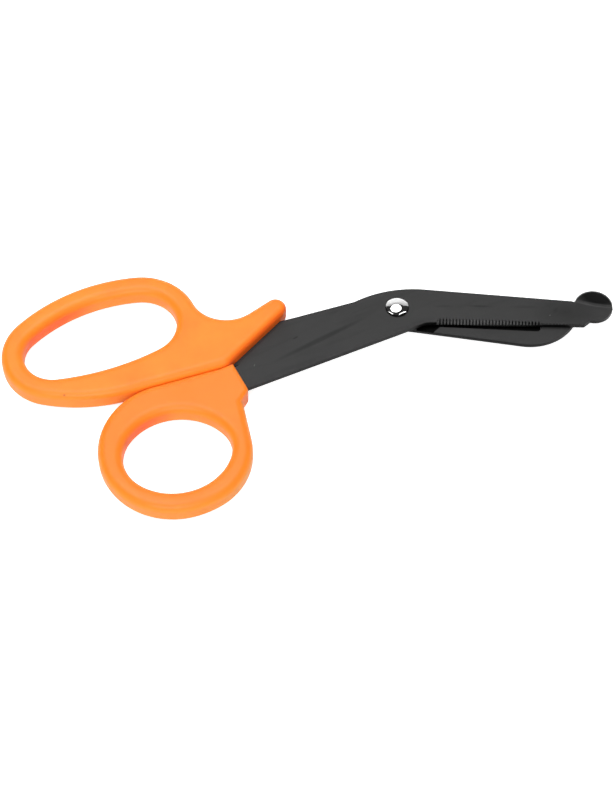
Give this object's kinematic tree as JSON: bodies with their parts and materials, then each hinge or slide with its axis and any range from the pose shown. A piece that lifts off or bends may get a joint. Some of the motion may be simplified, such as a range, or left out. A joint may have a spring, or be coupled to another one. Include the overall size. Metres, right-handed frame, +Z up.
{
  "type": "bandage scissors",
  "caption": "Angled bandage scissors with a serrated blade, a blunt turned-up foot, a domed pivot rivet, and moulded handles with a round thumb loop and a long finger loop.",
  "frame": {"origin": "on the surface that the closed scissors lie on, under the middle of their box", "axes": "+X along the length towards the blade tips, +Z up and along the pivot axis, +Y towards the back of the blades"},
  "size_m": [0.1852, 0.0852, 0.0089],
  "materials": {
    "blade_steel": "satin",
    "handle_plastic": "satin",
    "rivet_chrome": "polished"
  },
  "bodies": {
    "finger_half": {"plain_blade": "blade_steel", "finger_handle": "handle_plastic", "pivot_rivet": "rivet_chrome"},
    "thumb_half": {"foot_blade": "blade_steel", "thumb_handle": "handle_plastic"}
  },
  "joints": [
    {"name": "pivot_hinge", "type": "hinge", "parent": "finger_half", "child": "thumb_half", "pos_m": [0.02665, 0.03151, 0.00375], "axis": [0, 0, 1], "range_deg": [0, 60]}
  ]
}
